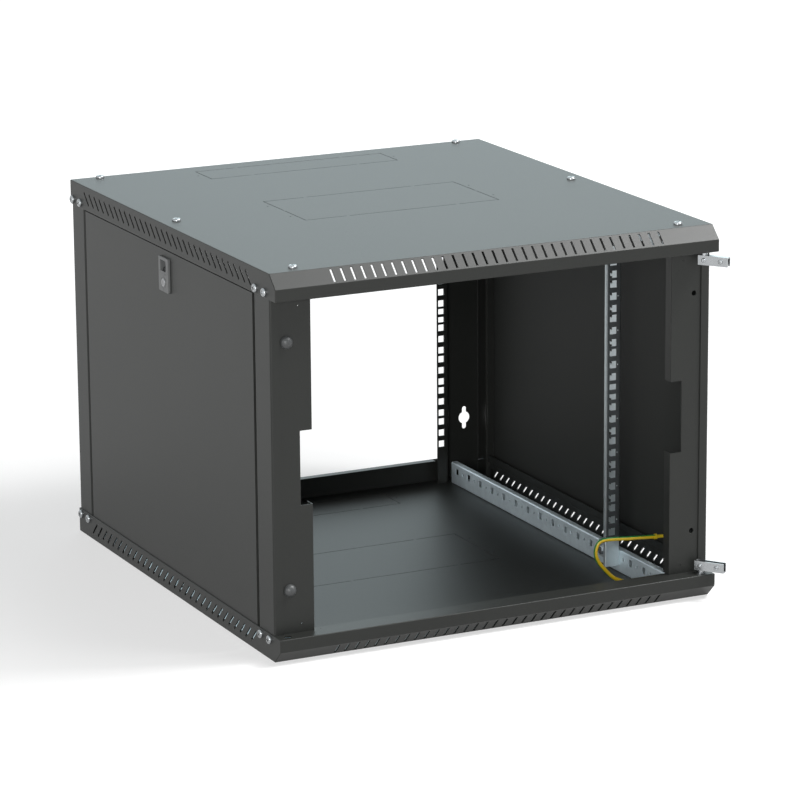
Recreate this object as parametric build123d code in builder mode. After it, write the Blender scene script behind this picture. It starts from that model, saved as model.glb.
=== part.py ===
"""Wall-mounted 19-inch network cabinet, shown without its front door.

Millimetres, +Z up. The front faces -Y and +X is on the right as seen from the front.
The front edge line is at depth 0 here, and every piece is written with half the depth
taken off, so the origin of the files is the middle of the underside.
Folded steel trays close the top and the bottom, four folded corner posts join them,
and galvanised rails inside carry 19-inch equipment.
"""

import math
import os

from build123d import *

# Overall size of the body
width = 600.0
depth = 650.0
height = 478.0

# Sheet metal
cover_sheet = 1.5
frame_sheet = 1.5
rail_sheet = 1.5
panel_sheet = 1.2
bend = 1.0
cover_bend = 1.2
rail_bend = 2.0

# Top and bottom covers
wall_height = 32.0
bevel_run = 17.0
bevel_rise = 16.5
front_lip = 30.0
rear_lip = 12.0
hem_width = 10.5
hem_drop = 7.6
hem_end_gap = 8.0

# Vent slots
side_slot_pitch = 17.2
side_slot_length = 22.0
side_slot_width = 3.1
side_slot_height = 16.3
bevel_slot_margin = 72.0
bevel_slot_pitch = 13.42
bevel_slot_length = 18.6
bevel_slot_width = 3.0

# Cable knockouts in both covers, held by small bridges
knockout_length = 271.0
front_knockout_depth = 130.0
rear_knockout_depth = 55.0
rear_knockout_inset = 58.0
knockout_slit = 1.1
bridge = 4.0
bridge_place = 76.5
pilot_hole = 1.1
pilot_offset = 7.0
pilot_spread = 34.5

# Fastening of the covers
screw_shank = 2.0
screw_head = 5.5
screw_head_height = 3.2
screw_length = 7.0
floor_screw_head = 4.4
floor_screw_head_height = 2.4
screw_clearance = 0.1
corner_screw_inset = 8.0
side_screw_pitch = 26.0
side_screw_height = 25.0
front_screw_inset = 31.0
cover_screw_inset = 39.0
middle_screw_inset = 21.4
middle_screw_offset = 8.0
front_cover_screw_y = 35.0

# Front posts
post_set_back = 19.5
post_reach = 55.0
post_return = 16.0
lap_width = 12.0
side_strip = 65.0
strip_return = 10.0
notch_depth = 16.0
notch_height = 92.0
notch_below_middle = 3.0
buffer_inset = 23.0
buffer_height = 86.0
buffer_hole = 3.25
buffer_radius = 8.0
buffer_dome = 7.0
buffer_round = 6.0
plug_clearance = 0.15
tiny_hole = 0.7
tiny_hole_inset = 38.5
tiny_hole_drop = 11.0

# Rear uprights
rear_rail_edge = 6.55
rear_rail_back = 10.45
rear_rail_set_in = 16.5
rear_strip = 43.0
keyhole_inset = 25.0
keyhole_z = 86.6
keyhole_radius = 8.5
keyhole_slot = 6.5
keyhole_reach = 16.0
foot_length = 26.0
foot_depth = 14.0

# Hole rows for 19-inch equipment
unit = 44.45
hole_gap = 15.875
row_inset = 67.45
square_hole = 9.5
rear_square_hole = 9.0
small_square_hole = 7.5
group_below_middle = 9.95
rail_end_margin = 20.0
front_middle = 26.6
rear_middle = 21.6
mark_radius = 0.9
mark_offset = 6.9

# Depth rails
rail_web_offset = 11.45
depth_rail_height = 30.5
depth_rail_foot_gap = 12.0
depth_rail_lip = 8.0
depth_rail_front = 31.0
depth_rail_rear_gap = 25.0
rail_hole_pitch = 35.0
rail_hole_margin = 26.0
rail_square = 9.0
rail_round = 2.25
rail_hole_z = 20.9
rail_square_inset = 41.5

# Front 19-inch rails
front_rail_y = 146.0
front_rail_edge = 9.55
front_rail_lip = 5.0
front_rail_web = 38.0
front_rail_foot = 52.0
front_rail_foot_height = 24.5
front_rail_bottom = 11.5
web_hole_y = 26.0
bolt_row = 1
bolt_head = 5.0
bolt_head_height = 4.0
bolt_radius = 3.0
nut_height = 5.0

# Side panels
panel_front = 70.0
panel_gap_rear = 5.0
panel_gap_bottom = 0.0
panel_gap_top = 1.7
panel_fold = 10.0
panel_lip = 10.0
pin_radius = 2.0
pin_height = 5.5
pin_inset = 12.0
pin_hole = 3.6

# Panel latch
latch_width = 30.0
latch_height = 44.0
latch_plate = 3.0
latch_below_top = 30.8
latch_body_width = 25.0
latch_body_height = 39.0
latch_body_depth = 17.5
window_width = 17.0
window_height = 14.0
window_above = 11.0
tongue_height = 6.0
slider_rest_gap = 0.8
slider_clear_top = 1.0
latch_fit = 0.35
bolt_tongue = 2.4
bolt_tongue_width = 12.0
cylinder_radius = 5.5
cylinder_drop = 10.3
cylinder_fit = 0.08
cam_width = 9.0
cam_length = 17.0
cam_sheet = 2.0
key_slot_length = 6.0
key_slot_width = 1.2
key_slot_depth = 2.0

# Door hinge leaves
pin_axis_inset = 14.9
pin_axis_y = 10.6
leaf_open_angle = 126.5
leaf_length = 39.5
leaf_tail = 6.8
leaf_height = 12.0
leaf_thickness = 9.0
leaf_sheet = 1.5
leaf_gap = 4.5
lip_hole = 4.5
bush_bore = 3.0
bush_flange = 6.0
bush_flange_height = 1.2
hinge_pin_fit = 0.06
hinge_collar = 4.2
leaf_screw_inset = 7.8
leaf_screw_tail = 9.6
leaf_screw_head = 2.9
leaf_screw_head_height = 1.6
leaf_screw_shank = 1.6

# Earth bonding lead; the route is measured sideways from the depth rail
lead_radius = 2.6
stud_gap = 8.0
stud_y = 70.0
stud_radius = 3.0
stud_height = 15.0
ring_radius = 6.0
ring_sheet = 0.9
washer_radius = 6.0
washer_height = 1.2
earth_nut_flats = 10.0
earth_nut_height = 5.0
barrel_radius = 3.6
barrel_length = 10.0
sleeve_collar = 3.5
sleeve_collar_length = 3.0
sleeve_radius = 2.3
sleeve_length = 17.0
tab_sheet = 0.8
tab_width = 2.8
tab_engagement = 9.0
tab_foot = 9.0
tab_foot_height = 12.0
tab_foot_sheet = 1.2
tab_clearance = 0.1
lead_route = [
    (2.0, 60.0, 72.0),
    (-32.0, 62.0, 73.8),
    (-66.0, 64.0, 76.6),
    (-76.0, 66.0, 73.0),
    (-79.5, 67.0, 60.0),
    (-75.0, 68.0, 48.0),
    (-66.0, 69.0, 37.0),
    (-55.5, 69.8, 26.0),
    (-44.5, 70.1, 17.6),
    (-26.4, 70.0, 12.2),
]

# Derived places across the width; 600 mm puts the 19-inch rows 465.1 mm apart
half_width = width / 2
inner_half = half_width - cover_sheet
cover_screw_x = half_width - cover_screw_inset
middle_screw_x = half_width - middle_screw_inset
post_inner = half_width - post_reach
tiny_hole_x = half_width - tiny_hole_inset
keyhole_x = half_width - keyhole_inset
pin_axis_x = half_width - pin_axis_inset
hole_row_x = half_width - row_inset
rear_rail_inner = hole_row_x - rear_rail_edge
rear_rail_outer = hole_row_x + rear_rail_back
front_rail_inner = hole_row_x - front_rail_edge
depth_rail_web = hole_row_x + rail_web_offset
depth_rail_foot = half_width - depth_rail_foot_gap - depth_rail_web
stud_x = depth_rail_web - stud_gap
lead_points = [(depth_rail_web + x, y, z) for x, y, z in lead_route]
bevel_slot_count = round((width - 2 * bevel_slot_margin) / bevel_slot_pitch)

# Derived places along the depth
rear_face = depth - cover_sheet
rear_strip_front = depth - rear_strip
rear_rail_y = depth - rear_rail_set_in
panel_rear = rear_strip_front - panel_gap_rear
panel_length = panel_rear - panel_front
panel_middle = (panel_front + panel_rear) / 2
side_slot_count = round(panel_length / side_slot_pitch)
front_knockout_place = panel_middle
rear_knockout_place = depth - rear_knockout_inset
middle_screw_y = panel_middle + middle_screw_offset
depth_rail_rear = depth - depth_rail_rear_gap
depth_rail_length = depth_rail_rear - depth_rail_front
rail_first_square = depth - rail_square_inset
rail_hole_count = int((depth_rail_length - rail_hole_margin) / rail_hole_pitch) + 1

# Derived heights
mid_height = height / 2
top_wall = height - wall_height
notch_middle = mid_height - notch_below_middle
buffer_spread = mid_height - buffer_height
lower_group_top = mid_height - group_below_middle
group_units = int((lower_group_top - front_rail_bottom - rail_end_margin) / unit)


def cover_outline():
    """Points of the side outline of the bottom tray, as depth and height."""
    return [
        (0, wall_height),
        (0, bevel_rise),
        (bevel_run, 0),
        (depth, 0),
        (depth, wall_height),
    ]


def folded_sheet(points, thickness, radius):
    """Face of a folded sheet whose outer side follows the points."""
    with BuildSketch(mode=Mode.PRIVATE) as section:
        with BuildLine():
            FilletPolyline(*points, radius=radius)
            offset(amount=thickness, side=Side.LEFT)
        make_face()
    return section.sketch


def unit_holes(group_bottom):
    """Heights of the holes in one group of rack units."""
    heights = []
    for count in range(group_units):
        middle = group_bottom + (count + 0.5) * unit
        heights += [middle - hole_gap, middle, middle + hole_gap]
    return heights


def hole_rows(middle_section):
    """Heights of the regular holes, of the two extra middle holes and of the marks."""
    lower_bottom = lower_group_top - group_units * unit
    upper_bottom = lower_group_top + middle_section
    regular = unit_holes(lower_bottom) + unit_holes(upper_bottom)
    quarter = (middle_section + unit - 2 * hole_gap) / 3
    first_extra = lower_group_top - (unit / 2 - hole_gap) + quarter
    extra = [first_extra, first_extra + quarter]
    marks = [regular[1 + 3 * count] for count in range(2 * group_units)]
    return regular, extra, marks


def knockout_outline(length, size, short_bridges):
    """Slit around a knockout, broken by its bridges."""
    with BuildSketch(mode=Mode.PRIVATE) as slit:
        Rectangle(length, size)
        Rectangle(length - 2 * knockout_slit, size - 2 * knockout_slit, mode=Mode.SUBTRACT)
        with Locations((-bridge_place, 0), (bridge_place, 0)):
            Rectangle(bridge, 2 * size, mode=Mode.SUBTRACT)
        if short_bridges:
            Rectangle(2 * length, bridge, mode=Mode.SUBTRACT)
    return slit.sketch


def mirrored_left(shape):
    """The same piece on the other side of the cabinet."""
    return mirror(shape, about=Plane.YZ)


def mirrored_up(shape):
    """The same piece at the top of the cabinet."""
    return mirror(shape, about=Plane.XY.offset(mid_height))


def save(shape, name):
    """Move one piece to the middle of the underside, label it and write it."""
    placed = shape.moved(Location((0, -depth / 2, 0)))
    placed.label = name
    export_step(placed, f"parts/{name}.step")


def tray():
    """Folded tray with bevelled front edge, lips, hems, vents and knockouts."""
    hem_front = panel_front
    hem_rear = panel_rear - hem_end_gap
    with BuildPart() as cover:
        with BuildSketch(Plane.YZ):
            with BuildLine():
                Polyline(*cover_outline(), close=True)
            outline = make_face()
            fillet(outline.vertices(), radius=cover_bend)
        extrude(amount=half_width, both=True)
        fillet(cover.faces().filter_by(Axis.X).edges(), radius=0.8 * cover_bend)
        with BuildSketch(Plane.YZ):
            with BuildLine():
                Polyline(*cover_outline(), close=True)
            make_face()
            offset(amount=-cover_sheet, mode=Mode.REPLACE)
            with Locations((cover_sheet, wall_height - 2 * cover_sheet)):
                Rectangle(
                    depth - 2 * cover_sheet, 4 * cover_sheet, align=(Align.MIN, Align.MIN)
                )
        extrude(amount=inner_half, both=True, mode=Mode.SUBTRACT)
        # Lips along the front and the rear walls
        with BuildSketch(Plane.XY.offset(wall_height - cover_sheet)):
            with Locations((0, cover_sheet)):
                Rectangle(
                    2 * inner_half, front_lip - cover_sheet, align=(Align.CENTER, Align.MIN)
                )
            with Locations((0, rear_face)):
                Rectangle(
                    2 * rear_rail_inner - 1,
                    rear_lip - cover_sheet,
                    align=(Align.CENTER, Align.MAX),
                )
        extrude(amount=cover_sheet)
        # Hems along the side walls, which the side panels stand on
        with BuildSketch(Plane.XZ.offset(-hem_front)):
            with BuildLine():
                Polyline(
                    (inner_half, wall_height),
                    (inner_half - hem_width, wall_height),
                    (inner_half - hem_width, wall_height - hem_drop),
                    (inner_half - hem_width + cover_sheet, wall_height - hem_drop),
                    (inner_half - hem_width + cover_sheet, wall_height - cover_sheet),
                    (inner_half, wall_height - cover_sheet),
                    close=True,
                )
            make_face()
            mirror(about=Plane.YZ)
        extrude(amount=-(hem_rear - hem_front))
        # Slanted vents in both side walls
        with BuildSketch(Plane.YZ):
            with Locations((panel_middle, side_slot_height)):
                with GridLocations(side_slot_pitch, 0, side_slot_count, 1):
                    Rectangle(side_slot_length, side_slot_width, rotation=-45)
        extrude(amount=half_width + 1, both=True, mode=Mode.SUBTRACT)
        # Vents in the bevelled front edge
        bevel_face = Plane(
            origin=(0, bevel_run / 2, bevel_rise / 2),
            x_dir=(1, 0, 0),
            z_dir=(0, -bevel_rise, -bevel_run),
        )
        with BuildSketch(bevel_face):
            with GridLocations(bevel_slot_pitch, 0, bevel_slot_count, 1):
                Rectangle(bevel_slot_width, bevel_slot_length)
        extrude(amount=-2 * cover_sheet, mode=Mode.SUBTRACT)
        # Knockouts, their pilot holes and the screw holes of the flat
        with BuildSketch(Plane.XY):
            with Locations((0, front_knockout_place)):
                add(knockout_outline(knockout_length, front_knockout_depth, True))
            with Locations((0, rear_knockout_place)):
                add(knockout_outline(knockout_length, rear_knockout_depth, False))
            with Locations((0, front_knockout_place)):
                with GridLocations(knockout_length + 2 * pilot_offset, 2 * pilot_spread, 2, 2):
                    Circle(pilot_hole)
            with Locations((0, rear_knockout_place)):
                with GridLocations(knockout_length + 2 * pilot_offset, 0, 2, 1):
                    Circle(pilot_hole)
            with Locations(*flat_screw_places()):
                Circle(screw_shank + screw_clearance)
        extrude(amount=cover_sheet, mode=Mode.SUBTRACT)
        # Hinge pin holes and small holes in the front lip
        with BuildSketch(Plane.XY.offset(wall_height - cover_sheet)):
            with Locations((-pin_axis_x, pin_axis_y), (pin_axis_x, pin_axis_y)):
                Circle(lip_hole)
            with Locations((-rear_rail_inner - 10, 23), (rear_rail_inner + 10, 23)):
                Circle(tiny_hole)
        extrude(amount=cover_sheet, mode=Mode.SUBTRACT)
        # Screw holes of the side walls
        with BuildSketch(Plane.YZ):
            with Locations(*side_screw_places()):
                Circle(screw_shank + screw_clearance)
        extrude(amount=half_width + 1, both=True, mode=Mode.SUBTRACT)
    return cover.part


def flat_screw_places():
    """Places of the six screws in the flat of a cover."""
    places = []
    for side in (-1, 1):
        places.append((side * cover_screw_x, front_cover_screw_y))
        places.append((side * middle_screw_x, middle_screw_y))
        places.append((side * cover_screw_x, depth - corner_screw_inset))
    return places


def side_screw_places():
    """Places of the screws in a side wall, as depth and height."""
    rear = depth - corner_screw_inset
    depths = [front_screw_inset, front_screw_inset + side_screw_pitch]
    depths += [rear - side_screw_pitch, rear]
    return [(place, side_screw_height) for place in depths]


def screw_group(places, plane, head, head_height, length):
    """Screws whose heads stand on a plane, one plain solid each."""
    with BuildPart() as screws:
        with BuildSketch(plane):
            with Locations(*places):
                Circle(head)
        extrude(amount=head_height)
        with BuildSketch(plane):
            with Locations(*places):
                Circle(screw_shank)
        extrude(amount=-length)
    return screws.part


def outside_screws(places, plane):
    """Screws put in from outside, through a cover and the sheet behind it."""
    return screw_group(places, plane, screw_head, screw_head_height, screw_length)


def floor_screws():
    """Screws put in from inside, so that the underside of the cabinet stays flat."""
    seat = cover_sheet + frame_sheet
    return screw_group(
        flat_screw_places(),
        Plane.XY.offset(seat),
        floor_screw_head,
        floor_screw_head_height,
        seat,
    )


def front_post():
    """Right front post: folded face with inner return, lapped by the side strip."""
    face_y = post_set_back + frame_sheet
    strip_x = inner_half
    face = folded_sheet(
        [
            (post_inner, post_set_back + post_return),
            (post_inner, face_y),
            (strip_x - frame_sheet, face_y),
        ],
        frame_sheet,
        bend,
    )
    strip = folded_sheet(
        [
            (strip_x - lap_width, post_set_back),
            (strip_x, post_set_back),
            (strip_x, side_strip),
            (strip_x - strip_return, side_strip),
        ],
        frame_sheet,
        bend + frame_sheet,
    )
    with BuildPart() as post:
        with BuildSketch(Plane.XY.offset(wall_height)):
            add(face)
            add(strip)
        extrude(amount=height - 2 * wall_height)
        # The side strip runs on between the walls of both covers
        with BuildSketch(Plane.YZ.offset(strip_x)):
            with Locations((side_strip - bend - frame_sheet, mid_height)):
                Rectangle(
                    side_strip - post_set_back - 4 * cover_sheet,
                    height - 2 * cover_sheet,
                    align=(Align.MAX, Align.CENTER),
                )
            with Locations((0, wall_height - cover_sheet), (0, top_wall)):
                Rectangle(
                    2 * (front_lip + 0.3), cover_sheet, align=(Align.CENTER, Align.MIN),
                    mode=Mode.SUBTRACT,
                )
        extrude(amount=-frame_sheet)
        # Notch in the inner edge
        with BuildSketch(Plane.XZ.offset(-post_set_back)):
            with Locations((post_inner, notch_middle)):
                Rectangle(2 * notch_depth, notch_height)
        extrude(amount=-(post_return + 1), mode=Mode.SUBTRACT)
        # Buffer holes and small holes in the face
        with BuildSketch(Plane.XZ.offset(-post_set_back)):
            with Locations((half_width - buffer_inset, mid_height)):
                with GridLocations(0, 2 * buffer_spread, 1, 2):
                    Circle(buffer_hole)
            with Locations((tiny_hole_x, mid_height)):
                with GridLocations(0, height - 2 * (wall_height + tiny_hole_drop), 1, 2):
                    Circle(tiny_hole)
        extrude(amount=-2 * frame_sheet, mode=Mode.SUBTRACT)
        # Screw holes near both ends of the strip
        with BuildSketch(Plane.YZ.offset(strip_x)):
            with Locations(*end_screw_places(front=True)):
                Circle(screw_shank + screw_clearance)
        extrude(amount=-frame_sheet, mode=Mode.SUBTRACT)
    return post.part


def end_screw_places(front):
    """Screw places of a corner piece at the bottom and at the top."""
    places = side_screw_places()
    chosen = places[:2] if front else places[2:]
    return chosen + [(place, height - level) for place, level in chosen]


def rear_upright():
    """Right rear upright: side strip, back face with keyholes and a 19-inch flange."""
    section = folded_sheet(
        [
            (inner_half - strip_return, rear_strip_front),
            (inner_half, rear_strip_front),
            (inner_half, rear_face),
            (rear_rail_outer, rear_face),
            (rear_rail_outer, rear_rail_y),
            (rear_rail_inner, rear_rail_y),
        ],
        frame_sheet,
        bend + frame_sheet,
    )
    regular, extra, _marks = hole_rows(rear_middle)
    with BuildPart() as upright:
        with BuildSketch(Plane.XY.offset(cover_sheet)):
            add(section)
        extrude(amount=height - 2 * cover_sheet)
        # Feet for the rear screws of both covers
        for level in (cover_sheet, height - cover_sheet - frame_sheet):
            with BuildSketch(Plane.XY.offset(level)):
                with Locations((cover_screw_x, rear_face)):
                    Rectangle(foot_length, foot_depth, align=(Align.CENTER, Align.MAX))
            extrude(amount=frame_sheet)
        with BuildSketch(Plane.XY):
            with Locations((cover_screw_x, depth - corner_screw_inset)):
                Circle(screw_shank + screw_clearance)
        extrude(amount=height, mode=Mode.SUBTRACT)
        with BuildSketch(Plane.XZ.offset(-rear_rail_y)):
            with Locations(*[(hole_row_x, level) for level in regular]):
                Rectangle(rear_square_hole, rear_square_hole)
            with Locations(*[(hole_row_x, level) for level in extra]):
                Rectangle(rear_square_hole, small_square_hole)
        extrude(amount=2 * frame_sheet, both=True, mode=Mode.SUBTRACT)
        with BuildSketch(Plane.XZ.offset(-rear_face)):
            with Locations((keyhole_x, keyhole_z), (keyhole_x, height - keyhole_z)):
                Circle(keyhole_radius)
                SlotOverall(2 * keyhole_reach, keyhole_slot, rotation=90)
        extrude(amount=2 * frame_sheet, both=True, mode=Mode.SUBTRACT)
        with BuildSketch(Plane.YZ.offset(inner_half)):
            with Locations(*end_screw_places(front=False)):
                Circle(screw_shank + screw_clearance)
        extrude(amount=-frame_sheet, mode=Mode.SUBTRACT)
    return upright.part


def depth_rail():
    """Lower right depth rail: punched web, foot on the cover and stiffening lip."""
    bottom = cover_sheet
    top = bottom + depth_rail_height
    section = folded_sheet(
        [
            (depth_rail_web + depth_rail_lip, top),
            (depth_rail_web, top),
            (depth_rail_web, bottom),
            (depth_rail_web + depth_rail_foot, bottom),
        ],
        rail_sheet,
        rail_bend,
    )
    last_square = rail_first_square - (rail_hole_count - 1) * rail_hole_pitch
    squares_middle = (rail_first_square + last_square) / 2
    with BuildPart() as rail:
        with BuildSketch(Plane.XZ.offset(-depth_rail_front)):
            add(section)
        extrude(amount=-depth_rail_length)
        with BuildSketch(Plane.YZ.offset(depth_rail_web)):
            with Locations((squares_middle, rail_hole_z)):
                with GridLocations(rail_hole_pitch, 0, rail_hole_count, 1):
                    Rectangle(rail_square, rail_square)
                with GridLocations(rail_hole_pitch, 0, rail_hole_count - 1, 1):
                    Circle(rail_round)
        extrude(amount=2 * rail_sheet, both=True, mode=Mode.SUBTRACT)
        with BuildSketch(Plane.XY):
            with Locations(
                (cover_screw_x, front_cover_screw_y), (middle_screw_x, middle_screw_y)
            ):
                Circle(screw_shank + screw_clearance)
        extrude(amount=depth_rail_height / 2, mode=Mode.SUBTRACT)
    return rail.part


def bolt_depths():
    """Depths of the two square holes that bolt a front rail to its depth rails."""
    nearest = round((rail_first_square - front_rail_y) / rail_hole_pitch - 0.5)
    front_hole = rail_first_square - nearest * rail_hole_pitch
    return [front_hole, front_hole + bolt_row * rail_hole_pitch]


def mounting_rail():
    """Right 19-inch rail: punched front flange, inner return and side web."""
    section = folded_sheet(
        [
            (front_rail_inner, front_rail_y + front_rail_lip),
            (front_rail_inner, front_rail_y),
            (depth_rail_web, front_rail_y),
            (depth_rail_web, front_rail_y + front_rail_web),
        ],
        rail_sheet,
        rail_bend,
    )
    regular, extra, marks = hole_rows(front_middle)
    rail_height = height - 2 * front_rail_bottom
    with BuildPart() as rail:
        with BuildSketch(Plane.XY.offset(front_rail_bottom)):
            add(section)
        extrude(amount=rail_height)
        # The web is deeper at both ends, where it is bolted to the depth rails
        with BuildSketch(Plane.YZ.offset(depth_rail_web)):
            with Locations((front_rail_y + front_rail_foot, mid_height)):
                Rectangle(
                    front_rail_foot - front_rail_web,
                    rail_height,
                    align=(Align.MAX, Align.CENTER),
                )
                Rectangle(
                    front_rail_foot - front_rail_web,
                    rail_height - 2 * front_rail_foot_height,
                    align=(Align.MAX, Align.CENTER),
                    mode=Mode.SUBTRACT,
                )
        extrude(amount=-rail_sheet)
        with BuildSketch(Plane.XZ.offset(-front_rail_y)):
            with Locations(*[(hole_row_x, level) for level in regular]):
                Rectangle(square_hole, square_hole)
            with Locations(*[(hole_row_x, level) for level in extra]):
                Rectangle(square_hole, small_square_hole)
            with Locations(*[(hole_row_x + mark_offset, level) for level in marks]):
                Circle(mark_radius)
        extrude(amount=-rail_sheet, mode=Mode.SUBTRACT)
        with BuildSketch(Plane.YZ.offset(depth_rail_web)):
            with Locations(*[(front_rail_y + web_hole_y, level) for level in regular]):
                Rectangle(square_hole, square_hole)
        extrude(amount=-rail_sheet, mode=Mode.SUBTRACT)
        with BuildSketch(Plane.YZ.offset(depth_rail_web)):
            with Locations(*rail_bolt_places()):
                Circle(bolt_radius + screw_clearance)
        extrude(amount=-rail_sheet, mode=Mode.SUBTRACT)
    return rail.part


def rail_bolt_places():
    """Places of the bolts of one front rail, as depth and height."""
    places = []
    for level in (rail_hole_z, height - rail_hole_z):
        places += [(place, level) for place in bolt_depths()]
    return places


def rail_bolts():
    """Hexagon bolts that hold the right 19-inch rail, head inside and nut outside."""
    head_face = depth_rail_web - rail_sheet
    nut_face = depth_rail_web + rail_sheet
    with BuildPart() as bolts:
        with BuildSketch(Plane.YZ.offset(head_face)):
            with Locations(*rail_bolt_places()):
                RegularPolygon(bolt_head, 6, major_radius=False)
        extrude(amount=-bolt_head_height)
        with BuildSketch(Plane.YZ.offset(head_face)):
            with Locations(*rail_bolt_places()):
                Circle(bolt_radius)
        extrude(amount=nut_face - head_face + nut_height + 1)
        with BuildSketch(Plane.YZ.offset(nut_face)):
            with Locations(*rail_bolt_places()):
                RegularPolygon(bolt_head, 6, major_radius=False)
        extrude(amount=nut_height)
    return bolts.part


def side_panel():
    """Right side panel: shallow tray with folded edges, latch cut-out and pin holes."""
    bottom = wall_height + panel_gap_bottom
    top = top_wall - panel_gap_top
    size = top - bottom
    middle = (top + bottom) / 2
    with BuildPart() as panel:
        with BuildSketch(Plane.YZ.offset(inner_half)):
            with Locations((panel_middle, middle)):
                Rectangle(panel_length, size)
        extrude(amount=-panel_fold)
        with BuildSketch(Plane.YZ.offset(inner_half - panel_sheet)):
            with Locations((panel_middle, middle)):
                Rectangle(panel_length - 2 * panel_sheet, size - 2 * panel_sheet)
        extrude(amount=-panel_fold, mode=Mode.SUBTRACT)
        # Lips that turn back along the lower and the upper fold
        with BuildSketch(Plane.YZ.offset(inner_half - panel_fold)):
            with Locations((panel_middle, bottom)):
                Rectangle(panel_length, panel_lip, align=(Align.CENTER, Align.MIN))
            with Locations((panel_middle, top)):
                Rectangle(panel_length, panel_lip, align=(Align.CENTER, Align.MAX))
        extrude(amount=panel_sheet)
        with BuildSketch(Plane.XY.offset(bottom)):
            with Locations(*[(panel_pin_x(), place) for place in panel_pin_depths()]):
                Circle(pin_hole)
        extrude(amount=panel_sheet, mode=Mode.SUBTRACT)
        with BuildSketch(Plane.YZ.offset(inner_half)):
            with Locations((panel_middle, latch_level())):
                Rectangle(latch_body_width, latch_body_height)
        extrude(amount=-2 * panel_fold, mode=Mode.SUBTRACT)
    return panel.part


def panel_pin_x():
    """Middle of the hem, where the locating pins of a panel stand."""
    return inner_half - hem_width / 2


def panel_pin_depths():
    """Depths of the locating pins of a panel."""
    return [panel_front + pin_inset, panel_rear - hem_end_gap - pin_inset / 2]


def panel_pins():
    """Locating pins on the right hem of the bottom cover."""
    with BuildPart() as pins:
        with BuildSketch(Plane.XY.offset(wall_height)):
            with Locations(*[(panel_pin_x(), place) for place in panel_pin_depths()]):
                Circle(pin_radius)
        extrude(amount=pin_height)
        top_edges = pins.edges().filter_by(GeomType.CIRCLE).group_by(Axis.Z)[-1]
        chamfer(top_edges, length=0.5)
    return pins.part


def latch_level():
    """Height of the middle of a panel latch."""
    return top_wall - panel_gap_top - latch_below_top


def latch_housing():
    """Right latch housing: face plate, body behind the panel, window and bores."""
    level = latch_level()
    plate_face = inner_half + latch_plate
    back_face = inner_half - latch_body_depth
    window_middle = level + window_above
    cylinder_level = level - cylinder_drop
    with BuildPart() as housing:
        with BuildSketch(Plane.YZ.offset(inner_half)):
            with Locations((panel_middle, level)):
                RectangleRounded(latch_width, latch_height, 1.2)
        extrude(amount=latch_plate)
        chamfer(housing.faces().sort_by(Axis.X)[-1].edges(), length=0.6)
        with BuildSketch(Plane.YZ.offset(inner_half)):
            with Locations((panel_middle, level)):
                Rectangle(latch_body_width, latch_body_height)
        extrude(amount=-latch_body_depth)
        # Finger window in the plate
        with BuildSketch(Plane.YZ.offset(plate_face)):
            with Locations((panel_middle, window_middle)):
                Rectangle(window_width, window_height)
        extrude(amount=-latch_plate, mode=Mode.SUBTRACT)
        # Cavity in which the slider runs
        with BuildSketch(Plane.YZ.offset(inner_half)):
            with Locations((panel_middle, window_middle + window_height / 2)):
                Rectangle(
                    window_width,
                    window_height + slider_rest_gap,
                    align=(Align.CENTER, Align.MAX),
                )
        extrude(amount=-(latch_body_depth - 2), mode=Mode.SUBTRACT)
        # Slot through which the latch bolt leaves the body at the top
        with BuildSketch(Plane.XY.offset(window_middle)):
            with Locations((latch_bolt_x(), panel_middle)):
                Rectangle(bolt_tongue + 2 * latch_fit, bolt_tongue_width + 2 * latch_fit)
        extrude(amount=latch_height, mode=Mode.SUBTRACT)
        with BuildSketch(Plane.YZ.offset(plate_face)):
            with Locations((panel_middle, cylinder_level)):
                Circle(cylinder_radius + cylinder_fit)
        extrude(amount=-(plate_face - back_face), mode=Mode.SUBTRACT)
    return housing.part


def latch_bolt_x():
    """Middle of the latch bolt, just behind the folded lip of the panel."""
    return inner_half - panel_fold - latch_fit - bolt_tongue / 2 - 0.6


def latch_slider():
    """Right latch slider, let down: finger tongue and the bolt behind the panel."""
    level = latch_level()
    window_bottom = level + window_above - window_height / 2
    bolt_x = latch_bolt_x()
    front = inner_half - latch_fit
    back = bolt_x - bolt_tongue / 2
    foot = window_bottom - 0.4
    bolt_top = top_wall - slider_clear_top
    with BuildPart() as slider:
        with BuildSketch(Plane.XZ.offset(-panel_middle)):
            with BuildLine():
                Polyline(
                    (back, foot),
                    (front, foot),
                    (front, foot + 0.5 * tongue_height),
                    (front - 5, foot + tongue_height),
                    (back, foot + tongue_height),
                    close=True,
                )
            make_face()
        extrude(amount=window_width / 2 - latch_fit, both=True)
        with BuildSketch(Plane.XY.offset(foot)):
            with Locations((bolt_x, panel_middle)):
                Rectangle(bolt_tongue, bolt_tongue_width)
        extrude(amount=bolt_top - foot)
    return slider.part


def key_cylinder():
    """Right key cylinder with its key slot."""
    level = latch_level() - cylinder_drop
    front = inner_half + latch_plate + 0.6
    back = inner_half - latch_body_depth
    with BuildPart() as cylinder:
        with BuildSketch(Plane.YZ.offset(back)):
            with Locations((panel_middle, level)):
                Circle(cylinder_radius)
        extrude(amount=front - back)
        chamfer(cylinder.edges().sort_by(Axis.X)[-1], length=0.5)
        with BuildSketch(Plane.YZ.offset(front)):
            with Locations((panel_middle, level)):
                Rectangle(key_slot_width, key_slot_length)
        extrude(amount=-key_slot_depth, mode=Mode.SUBTRACT)
    return cylinder.part


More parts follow.
